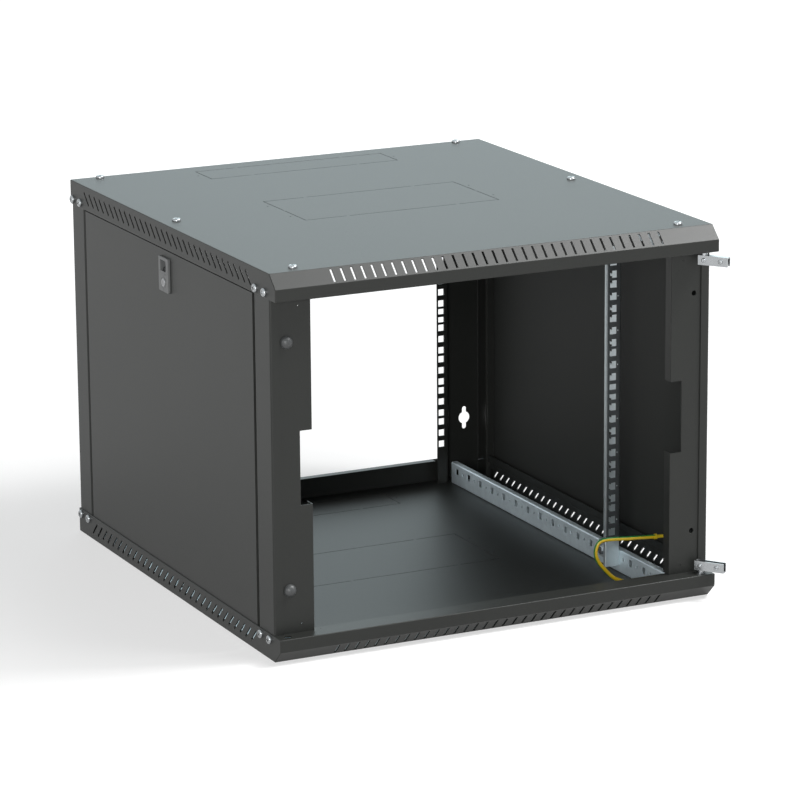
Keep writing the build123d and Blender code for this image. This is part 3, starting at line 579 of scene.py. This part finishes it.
class Bench:
    """Workbench for pieces that are modelled with operators."""

    # Smallest angle that counts as sharp, in degrees
    sharp: float = 35.0

    @staticmethod
    def clear() -> None:
        """Leave edit mode and deselect everything."""
        if bpy.context.object and bpy.context.object.mode != "OBJECT":
            bpy.ops.object.mode_set(mode="OBJECT")
        bpy.ops.object.select_all(action="DESELECT")

    @staticmethod
    def choose(*pieces: bpy.types.Object) -> None:
        """Select these pieces only and make the first one active.

        Args:
            pieces: Pieces to select.
        """
        Bench.clear()
        for piece in pieces:
            piece.select_set(True)
        bpy.context.view_layer.objects.active = pieces[0]

    @staticmethod
    def cylinder(
        radius: float, depth: float, foot: float, count: int
    ) -> bpy.types.Object:
        """Upright cylinder whose foot stands at a height.

        Args:
            radius: Radius in metres.
            depth: Height in metres.
            foot: Height of the foot.
            count: Corners of the outline.

        Returns:
            The new piece.
        """
        Bench.clear()
        middle = (0, 0, foot + depth / 2)
        bpy.ops.mesh.primitive_cylinder_add(
            vertices=count, radius=radius, depth=depth, location=middle
        )
        bpy.ops.object.transform_apply(location=True, rotation=True, scale=True)
        return bpy.context.object

    @staticmethod
    def block(low: Point, high: Point) -> bpy.types.Object:
        """Block between two corners.

        Args:
            low: Lowest corner.
            high: Highest corner.

        Returns:
            The new piece.
        """
        Bench.clear()
        middle = [(a + b) / 2 for a, b in zip(low, high)]
        bpy.ops.mesh.primitive_cube_add(size=1.0, location=middle)
        piece = bpy.context.object
        piece.scale = [b - a for a, b in zip(low, high)]
        bpy.ops.object.transform_apply(location=True, rotation=True, scale=True)
        return piece

    @staticmethod
    def dome(radius: float, height: float, count: int) -> bpy.types.Object:
        """Dome that stands on height zero.

        Args:
            radius: Radius of its foot.
            height: Height of its crown.
            count: Corners of the outline.

        Returns:
            The new piece.
        """
        Bench.clear()
        bpy.ops.mesh.primitive_uv_sphere_add(
            segments=count, ring_count=count // 2, radius=radius, location=(0, 0, 0)
        )
        piece = bpy.context.object
        piece.scale = (1.0, 1.0, height / radius)
        bpy.ops.object.transform_apply(location=True, rotation=True, scale=True)
        reach = 2 * radius
        Bench.cut(piece, Bench.block((-reach, -reach, -reach), (reach, reach, 0.0)))
        return piece

    @staticmethod
    def ring(radius: float, thickness: float, count: int) -> bpy.types.Object:
        """Level round ring at height zero.

        Args:
            radius: Radius of its middle line.
            thickness: Radius of its section.
            count: Corners of the middle line.

        Returns:
            The new piece.
        """
        Bench.clear()
        bpy.ops.mesh.primitive_torus_add(
            major_radius=radius,
            minor_radius=thickness,
            major_segments=count,
            minor_segments=count // 5,
            location=(0, 0, 0),
        )
        bpy.ops.object.transform_apply(location=True, rotation=True, scale=True)
        return bpy.context.object

    @staticmethod
    def join(*pieces: bpy.types.Object) -> bpy.types.Object:
        """Join pieces into the first one.

        Args:
            pieces: Pieces to join.

        Returns:
            The joined piece.
        """
        Bench.choose(*pieces)
        bpy.ops.object.join()
        return bpy.context.object

    @staticmethod
    def facing(place: Point, heading: Point, twist: float = 0.0) -> Matrix:
        """Place whose height axis points along a heading.

        Args:
            place: Point in the cabinet's frame.
            heading: Direction of the height axis.
            twist: Turn about that axis, in radians.

        Returns:
            The transform.
        """
        turn = Vector(heading).to_track_quat("Z", "Y").to_matrix().to_4x4()
        return Matrix.Translation(place) @ turn @ Matrix.Rotation(twist, 4, "Z")

    @staticmethod
    def bevel(piece: bpy.types.Object, width: float, segments: int) -> None:
        """Round the sharp edges for good.

        Args:
            piece: Piece to round.
            width: Width of the rounding.
            segments: Steps of the rounding.
        """
        Bench.choose(piece)
        modifier = piece.modifiers.new("round", "BEVEL")
        modifier.width = width
        modifier.segments = segments
        modifier.limit_method = "ANGLE"
        modifier.angle_limit = math.radians(Bench.sharp)
        bpy.ops.object.modifier_apply(modifier=modifier.name)

    @staticmethod
    def cut(piece: bpy.types.Object, *tools: bpy.types.Object) -> None:
        """Cut tools out of a piece and throw them away.

        Args:
            piece: Piece to cut.
            tools: Closed pieces that take material away.
        """
        for tool in tools:
            Bench.choose(piece)
            modifier = piece.modifiers.new("cut", "BOOLEAN")
            modifier.operation = "DIFFERENCE"
            modifier.solver = "EXACT"
            modifier.object = tool
            bpy.ops.object.modifier_apply(modifier=modifier.name)
            bpy.data.objects.remove(tool)

    @staticmethod
    def smooth(piece: bpy.types.Object, angle: float = sharp) -> None:
        """Shade the faces smooth below an angle.

        Args:
            piece: Piece to shade.
            angle: Angle in degrees.
        """
        Bench.choose(piece)
        bpy.ops.object.shade_smooth_by_angle(angle=math.radians(angle))

    @staticmethod
    def copies(
        model: bpy.types.Object, places: list[Matrix], name: str
    ) -> bpy.types.Object:
        """Copy a model to each place and join the copies into one piece.

        Args:
            model: Piece that is copied and then thrown away.
            places: Place of each copy.
            name: Name of the joined piece.

        Returns:
            The joined piece.
        """
        made = []
        for place in places:
            copy = bpy.data.objects.new(name, model.data.copy())
            copy.data.transform(place)
            bpy.context.scene.collection.objects.link(copy)
            made.append(copy)
        bpy.data.objects.remove(model)
        piece = Bench.join(*made)
        piece.name = name
        return piece

    @staticmethod
    def dress(
        piece: bpy.types.Object,
        material: bpy.types.Material,
        body: str,
        slot: str,
        *nodes: str,
    ) -> None:
        """Give a piece its finish, its body and the CAD nodes that it stands for.

        Args:
            piece: The finished piece.
            material: Its finish.
            body: CAD body that it rides on.
            slot: Material slot of the record; not used.
            nodes: CAD nodes that it stands for.
        """
        piece.data.materials.clear()
        piece.data.materials.append(material)
        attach(piece, body)
        if nodes:
            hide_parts(*nodes)
        LOG.info("%s on %s: %d faces", piece.name, body, len(piece.data.polygons))


@dataclass
class Finishes:
    """Every finish of the cabinet, made once."""

    powder: bpy.types.Material = field(init=False)
    panel_powder: bpy.types.Material = field(init=False)
    tray_powder: bpy.types.Material = field(init=False)
    zinc: bpy.types.Material = field(init=False)
    rail_zinc: bpy.types.Material = field(init=False)
    bright: bpy.types.Material = field(init=False)
    latch: bpy.types.Material = field(init=False)
    slider: bpy.types.Material = field(init=False)
    lock: bpy.types.Material = field(init=False)
    rubber: bpy.types.Material = field(init=False)
    sheath: bpy.types.Material = field(init=False)
    sleeve: bpy.types.Material = field(init=False)

    def __post_init__(self) -> None:
        """Make the materials."""
        self.powder = PowderCoat().material("powder_coat")
        # The broad inner faces are duller than the hems and lips around them
        panel = PowderCoat(inner=Band(0, 0.2960, 0.2980), dullness=0.22)
        self.panel_powder = panel.material("powder_coat_panel")
        tray = PowderCoat(inner=Band(2, 0.0010, 0.0030), dullness=0.03)
        self.tray_powder = tray.material("powder_coat_tray")
        self.zinc = Galvanised().material("galvanised_sheet")
        # The punched front face of the mounting rails gets painted shade, a dark
        # reflection put into its colour; its foot keeps the plain zinc colour
        rail = Galvanised((0.62, 0.68, 0.70), rough=0.40, face=Band(1, 0.1783, 0.1800))
        self.rail_zinc = rail.material("passivated_sheet")
        self.bright = Plated().material("zinc_plated_steel")
        self.latch = Moulded((0.150, 0.154, 0.154), 0.40).material("latch_plastic")
        self.slider = Moulded((0.030, 0.032, 0.033), 0.37).material("slider_plastic")
        self.lock = Plated((0.30, 0.305, 0.31), rough=0.25).material("nickel_plating")
        rubber = Moulded((0.055, 0.058, 0.059), 0.37, grain=1100.0)
        self.rubber = rubber.material("buffer_rubber")
        self.sheath = TwoColourSheath().material("green_yellow_sheath")
        self.sleeve = Moulded((0.60, 0.44, 0.02), 0.30).material("yellow_sleeve")


@dataclass
class SheetMetal:
    """The folded sheet pieces, which keep their CAD shape and get soft edges."""

    finishes: Finishes
    edge: float = 0.0004
    edge_steps: int = 2
    sharp: float = 40.0
    merge_reach: float = 0.000002
    flat: float = 0.5
    coated: tuple[str, ...] = (
        "top_cover",
        "bottom_cover",
        "front_post_left",
        "front_post_right",
        "rear_upright_left",
        "rear_upright_right",
        "side_panel_left",
        "side_panel_right",
    )

    def soften(self, node: bpy.types.Object) -> None:
        """Merge the flat faces of a CAD node and round its edges, by modifiers.

        Args:
            node: CAD node.
        """
        weld = node.modifiers.new("weld", "WELD")
        weld.merge_threshold = self.merge_reach
        merge = node.modifiers.new("merge", "DECIMATE")
        merge.decimate_type = "DISSOLVE"
        merge.angle_limit = math.radians(self.flat)
        bevel = node.modifiers.new("edge", "BEVEL")
        bevel.width = self.edge
        bevel.segments = self.edge_steps
        bevel.limit_method = "ANGLE"
        bevel.angle_limit = math.radians(self.sharp)
        even = node.modifiers.new("even", "WEIGHTED_NORMAL")
        even.keep_sharp = True

    def build(self) -> None:
        """Dress every CAD node, and round the edges of the sheet pieces."""
        for name, node in NODES.items():
            material = self.material_of(name)
            node.data.materials.clear()
            node.data.materials.append(material)
            if name in self.coated or "rail_" in name and "bolts" not in name:
                self.soften(node)
            LOG.info("%s in %s", name, material.name)

    def material_of(self, name: str) -> bpy.types.Material:
        """Finish of a CAD node.

        Args:
            name: Name of the node.

        Returns:
            Its material.
        """
        if name.startswith("side_panel"):
            return self.finishes.panel_powder
        if name == "bottom_cover":
            return self.finishes.tray_powder
        if name in self.coated:
            return self.finishes.powder
        if name.startswith("depth_rail"):
            return self.finishes.zinc
        if name.startswith("mounting_rail"):
            return self.finishes.rail_zinc
        if name.startswith("latch_housing"):
            return self.finishes.latch
        if name.startswith("latch_slider"):
            return self.finishes.slider
        if name.startswith(("key_cylinder", "lock_cam")):
            return self.finishes.lock
        if name.startswith("door_buffers"):
            return self.finishes.rubber
        if name == "earth_lead":
            return self.finishes.sheath
        if name == "earth_sleeve":
            return self.finishes.sleeve
        return self.finishes.bright


@dataclass(frozen=True)
class PanHead:
    """Pan-head screw with a cross recess, whose head has fixed proportions."""

    radius: float
    height: float
    shank: float
    length: float
    rounding: float = 0.62
    recess_reach: float = 0.52
    recess_width: float = 0.11
    recess_floor: float = 0.45
    head_corners: int = 28
    shank_corners: int = 16
    rounding_steps: int = 4
    sharp: float = 40.0

    def model(self) -> bpy.types.Object:
        """Model one screw whose head stands on height zero.

        Returns:
            The screw.
        """
        rounding = self.rounding * self.height
        blank = self.height + rounding
        head = Bench.cylinder(self.radius, blank, -rounding, self.head_corners)
        Bench.bevel(head, rounding, self.rounding_steps)
        reach = 2 * self.radius
        Bench.cut(head, Bench.block((-reach, -reach, -reach), (reach, reach, 0.0)))
        arm, web = self.recess_reach * self.radius, self.recess_width * self.radius
        floor, over = self.recess_floor * self.height, 2 * self.height
        Bench.cut(
            head,
            Bench.block((-arm, -web, floor), (arm, web, over)),
            Bench.block((-web, -arm, floor), (web, arm, over)),
        )
        shank = Bench.cylinder(
            self.shank, self.length, -self.length, self.shank_corners
        )
        screw = Bench.join(head, shank)
        Bench.smooth(screw, self.sharp)
        return screw


@dataclass
class Fasteners:
    """Every screw that is seen, in the groups of the record.

    Depths are counted from the front edge line, and each screw stands turned a step
    further than the one before it.
    """

    finishes: Finishes
    cover: PanHead = PanHead(0.0055, 0.0032, 0.0020, 0.0070)
    floor: PanHead = PanHead(0.0044, 0.0024, 0.0020, 0.0030)
    clamp: PanHead = PanHead(0.0029, 0.0016, 0.0015, 0.0090)
    flat_rows: tuple[Pair, ...] = ((0.261, 0.035), (0.2786, 0.344), (0.261, 0.642))
    floor_face: float = 0.003
    wall_depths: tuple[float, ...] = (0.031, 0.057, 0.616, 0.642)
    wall_level: float = 0.025
    top_turns: Pair = (0.0, 0.7)
    floor_turns: Pair = (0.5, 0.6)
    wall_turns: Pair = (0.4, 0.9)

    def flat_group(self, screw: PanHead, face: float, turns: Pair, node: str) -> None:
        """Make the six screws in the flat of a cover.

        Args:
            screw: Kind of screw.
            face: Height of the face that they stand on.
            turns: Turn of the first screw and step to the next one, in radians.
            node: CAD node that the group stands for.
        """
        first, step = turns
        spots = [(side.value * x, y) for side in Side for x, y in self.flat_rows]
        places = [
            Bench.facing((x, y - HALF_DEPTH, face), (0, 0, 1), first + step * index)
            for index, (x, y) in enumerate(spots)
        ]
        self.group(screw, places, node, "cabinet")

    def wall_group(self, side: Side) -> None:
        """Make the eight screws of one side.

        Args:
            side: Side of the cabinet.
        """
        places = []
        level_step, step = self.wall_turns
        for level in Level:
            height = level.height(self.wall_level)
            for index, depth in enumerate(self.wall_depths):
                place = (side.value * HALF_WIDTH, depth - HALF_DEPTH, height)
                twist = step * index + level_step * level.value
                places.append(Bench.facing(place, (side.value, 0, 0), twist))
        self.group(self.cover, places, f"side_screws_{side.word}", "cabinet")

    def group(self, screw: PanHead, places: list[Matrix], node: str, body: str) -> None:
        """Make one group of screws.

        Args:
            screw: Kind of screw.
            places: Place of each one.
            node: CAD node that the group stands for.
            body: Body that it rides on.
        """
        piece = Bench.copies(screw.model(), places, node + "_look")
        Bench.dress(piece, self.finishes.bright, body, "zinc", node)

    def build(self) -> None:
        """Make all groups of the cabinet."""
        self.flat_group(self.cover, HEIGHT, self.top_turns, "top_cover_screws")
        self.flat_group(
            self.floor, self.floor_face, self.floor_turns, "bottom_cover_screws"
        )
        for side in Side:
            self.wall_group(side)


@dataclass
class DoorHinges:
    """Clamp screws of the opened hinge leaves."""

    fasteners: Fasteners
    axis: Pair = (0.2851, 0.0106)
    open_angle: float = 126.5
    half_thickness: float = 0.0045
    level: float = 0.0425
    along: Pair = (0.0010, 0.0231)
    first_turn: float = 0.6
    turn_per_metre: float = 40.0

    def build(self) -> None:
        """Put the clamp screws on both leaves."""
        angle = math.radians(180.0 - self.open_angle)
        run = Vector((math.cos(angle), -math.sin(angle), 0.0))
        out = Vector((-math.sin(angle), -math.cos(angle), 0.0))
        x, y = self.axis
        for level in Level:
            middle = Vector((x, y - HALF_DEPTH, level.height(self.level)))
            face = middle + out * self.half_thickness
            places = [
                Bench.facing(
                    face + run * step, out, self.first_turn + self.turn_per_metre * step
                )
                for step in self.along
            ]
            node = f"hinge_leaf_screws_{level.word}"
            self.fasteners.group(
                self.fasteners.clamp, places, node, f"hinge_{level.word}"
            )


@dataclass
class DoorBuffers:
    """Domed rubber buffers on the left post."""

    finishes: Finishes
    radius: float = 0.008
    height: float = 0.007
    plug: float = 0.0031
    plug_length: float = 0.0045
    place: Pair = (-0.277, 0.021)
    spread: float = 0.153
    dome_corners: int = 40
    plug_corners: int = 20
    sharp: float = 40.0

    def build(self) -> None:
        """Make both buffers."""
        dome = Bench.dome(self.radius, self.height, self.dome_corners)
        plug = Bench.cylinder(
            self.plug, self.plug_length, -self.plug_length, self.plug_corners
        )
        model = Bench.join(dome, plug)
        Bench.smooth(model, self.sharp)
        x, y = self.place
        levels = (HEIGHT / 2 - self.spread, HEIGHT / 2 + self.spread)
        places = [
            Bench.facing((x, y - HALF_DEPTH, level), (0, -1, 0)) for level in levels
        ]
        piece = Bench.copies(model, places, "door_buffers_look")
        Bench.dress(
            piece, self.finishes.rubber, "cabinet", "buffer_rubber", "door_buffers"
        )


@dataclass
class LatchTrim:
    """Fine relief on the latch plates: a rib, a ring round the lock and a dot."""

    finishes: Finishes
    depth: float = 0.336
    plate: float = 0.3015
    relief: float = 0.0003
    sink: float = 0.0001
    rib_level: float = 0.4142
    rib_half_length: float = 0.0085
    rib_half_width: float = 0.0003
    lock_level: float = 0.4032
    ring_radius: float = 0.0072
    ring_corners: int = 40
    dot_level: float = 0.3945
    dot_radius: float = 0.0012
    dot_corners: int = 20

    def build(self) -> None:
        """Put the relief on both plates."""
        y = self.depth - HALF_DEPTH
        for side in Side:
            heading = (side.value, 0, 0)
            face = side.value * self.plate
            ring = Bench.ring(self.ring_radius, self.relief, self.ring_corners)
            ring.data.transform(Bench.facing((face, y, self.lock_level), heading))
            foot = side.value * (self.plate - self.sink)
            inner, outer = sorted((foot, side.value * (self.plate + self.relief)))
            rib = Bench.block(
                (inner, y - self.rib_half_length, self.rib_level - self.rib_half_width),
                (outer, y + self.rib_half_length, self.rib_level + self.rib_half_width),
            )
            dot = Bench.cylinder(
                self.dot_radius, self.relief + self.sink, -self.sink, self.dot_corners
            )
            dot.data.transform(Bench.facing((face, y, self.dot_level), heading))
            piece = Bench.join(ring, rib, dot)
            piece.name = f"latch_relief_{side.word}"
            Bench.smooth(piece)
            body = f"panel_{side.word}"
            Bench.dress(piece, self.finishes.latch, body, "latch_grey")


@dataclass
class EarthLead:
    """Green and yellow lead between the post and the floor, on the part's own route."""

    finishes: Finishes
    radius: float = 0.0026
    length: float = 0.166
    steps: int = 16
    corners: int = 6
    route: tuple[Point, ...] = (
        (0.2460, 0.0600, 0.0720),
        (0.2120, 0.0620, 0.0738),
        (0.1780, 0.0640, 0.0766),
        (0.1680, 0.0660, 0.0730),
        (0.1645, 0.0670, 0.0600),
        (0.1690, 0.0680, 0.0480),
        (0.1780, 0.0690, 0.0370),
        (0.1885, 0.0698, 0.0260),
        (0.1995, 0.0701, 0.0176),
        (0.2176, 0.0700, 0.0122),
    )

    def build(self) -> None:
        """Lay the lead along its route."""
        data = bpy.data.curves.new("earth_lead_look", "CURVE")
        data.dimensions = "3D"
        data.resolution_u = self.steps
        data.bevel_depth = self.radius
        data.bevel_resolution = self.corners
        data.use_fill_caps = True
        spline = data.splines.new("NURBS")
        spline.points.add(len(self.route) - 1)
        for point, (x, y, z) in zip(spline.points, self.route):
            point.co = (x, y - HALF_DEPTH, z, 1.0)
        spline.order_u = 3
        spline.use_endpoint_u = True
        lead = bpy.data.objects.new("earth_lead_look", data)
        bpy.context.scene.collection.objects.link(lead)
        data.materials.append(self.finishes.sheath)
        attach(lead, "cabinet")
        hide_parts("earth_lead")
        x, y, z = self.route[0]
        LOG.info("%s on cabinet: %d points", lead.name, len(self.route))


@dataclass(frozen=True)
class Lamp:
    """Square soft lamp that faces a point."""

    name: str
    place: Point
    aim: Point
    size: float
    energy: float
    tint: Colour = WHITE

    def hang(self) -> None:
        """Put the lamp into the scene."""
        data = bpy.data.lights.new(self.name, "AREA")
        data.size = self.size
        data.energy = self.energy
        data.color = self.tint
        lamp = bpy.data.objects.new(self.name, data)
        lamp.location = self.place
        heading = Vector(self.aim) - Vector(self.place)
        lamp.rotation_euler = heading.to_track_quat("-Z", "Y").to_euler()
        bpy.context.scene.collection.objects.link(lamp)


@dataclass
class Studio:
    """Camera, lamps, floor and surroundings."""

    place: Point = (-2.16548, -4.49207, 1.51232)
    forward: Point = (0.42336, 0.87046, -0.25113)
    roll: float = -0.416
    lens: float = 180.466
    sensor: float = 36.0
    view_reach: float = 100.0
    floor_level: float = -0.0005
    floor_radius: float = 30.0
    floor_corners: int = 64
    floor_tone: Colour = (0.45, 0.45, 0.45)
    floor_rough: float = 0.9
    floor_reflection: float = 0.1
    near_tone: Colour = (0.56, 0.56, 0.56)
    far_tone: Colour = (0.95, 0.95, 0.95)
    white_reach: float = 2.4
    seen_world: Colour = (0.95, 1.0, 1.02)
    shed_world: Colour = (0.15, 0.15, 0.15)
    lamps: tuple[Lamp, ...] = (
        Lamp("overhead", (1.1, -0.9, 2.6), (0, -0.2, 0.4), 1.5, 47.0),
        Lamp("over_right", (1.9, -0.8, 2.4), (0.1, -0.2, 0.4), 0.8, 66.0),
        Lamp("left", (-3.0, -0.6, 1.2), (-0.3, 0, 0.25), 1.5, 10.0),
        Lamp("front_left", (-1.6, -2.4, 0.9), (0.25, 0, 0.05), 0.8, 36.0),
        Lamp("behind", (1.5, 3.0, 1.5), (0, 0, 0.3), 2.0, 14.0, COOL),
    )

    def camera(self) -> None:
        """Set up the camera at the viewing angle."""
        forward = Vector(self.forward).normalized()
        level = forward.cross(Vector((0, 0, 1))).normalized()
        upright = level.cross(forward)
        roll = math.radians(self.roll)
        cosine, sine = math.cos(roll), math.sin(roll)
        right = level * cosine + upright * sine
        up = upright * cosine - level * sine
        data = bpy.data.cameras.new("camera")
        data.lens = self.lens
        data.sensor_width = self.sensor
        data.clip_end = self.view_reach
        camera = bpy.data.objects.new("camera", data)
        turn = Matrix((right, up, -forward)).transposed().to_4x4()
        camera.matrix_world = Matrix.Translation(self.place) @ turn
        bpy.context.scene.collection.objects.link(camera)
        bpy.context.scene.camera = camera

    def floor(self) -> None:
        """Lay the plain pale floor, which is seen white away from the cabinet."""
        Bench.clear()
        bpy.ops.mesh.primitive_circle_add(
            vertices=self.floor_corners,
            radius=self.floor_radius,
            fill_type="NGON",
            location=(0, 0, self.floor_level),
        )
        floor = bpy.context.object
        floor.name = "floor"
        shop = ShaderShop("floor_paper")
        shop.link("Base Color", (*self.floor_tone, 1.0))
        shop.link("Roughness", self.floor_rough)
        shop.link("Specular IOR Level", self.floor_reflection)
        path = shop.node("ShaderNodeLightPath", {}, {})
        seen = Signal(shop, path.outputs["Is Camera Ray"])
        for kind in ("Is Glossy Ray", "Is Transmission Ray"):
            seen = seen + Signal(shop, path.outputs[kind])
        reach = shop.coordinate(0) ** 2.0 + shop.coordinate(1) ** 2.0
        ramp = shop.node(
            "ShaderNodeValToRGB",
            {"stops": [(0.0, self.near_tone), (1.0, self.far_tone)]},
            {0: reach * (1.0 / self.white_reach**2)},
        )
        shop.link("Emission Color", shop.mix(seen, (0.0, 0.0, 0.0), ramp.outputs[0]))
        shop.link("Emission Strength", 1.0)
        floor.data.materials.append(shop.material)

    def world(self) -> None:
        """Make even surroundings, seen as white but giving only a dim light."""
        world = bpy.data.worlds.new("studio")
        world.use_nodes = True
        bpy.context.scene.world = world
        tree = world.node_tree
        tree.nodes.clear()
        path = tree.nodes.new("ShaderNodeLightPath")
        tone = tree.nodes.new("ShaderNodeMix")
        tone.data_type = "RGBA"
        tone.inputs[6].default_value = (*self.seen_world, 1.0)
        tone.inputs[7].default_value = (*self.shed_world, 1.0)
        tree.links.new(path.outputs["Is Diffuse Ray"], tone.inputs[0])
        back = tree.nodes.new("ShaderNodeBackground")
        tree.links.new(tone.outputs[2], back.inputs[0])
        output = tree.nodes.new("ShaderNodeOutputWorld")
        tree.links.new(back.outputs[0], output.inputs[0])

    def build(self) -> None:
        """Set up the whole studio."""
        self.camera()
        self.floor()
        self.world()
        for lamp in self.lamps:
            lamp.hang()
        bpy.context.scene.view_settings.view_transform = "Standard"


def main() -> None:
    """Build the studio and every sub-assembly in order."""
    logging.basicConfig(level=logging.INFO)
    Studio().build()
    finishes = Finishes()
    SheetMetal(finishes).build()
    EarthLead(finishes).build()
    fasteners = Fasteners(finishes)
    fasteners.build()
    DoorHinges(fasteners).build()
    DoorBuffers(finishes).build()
    LatchTrim(finishes).build()


if __name__ == "__main__":
    main()
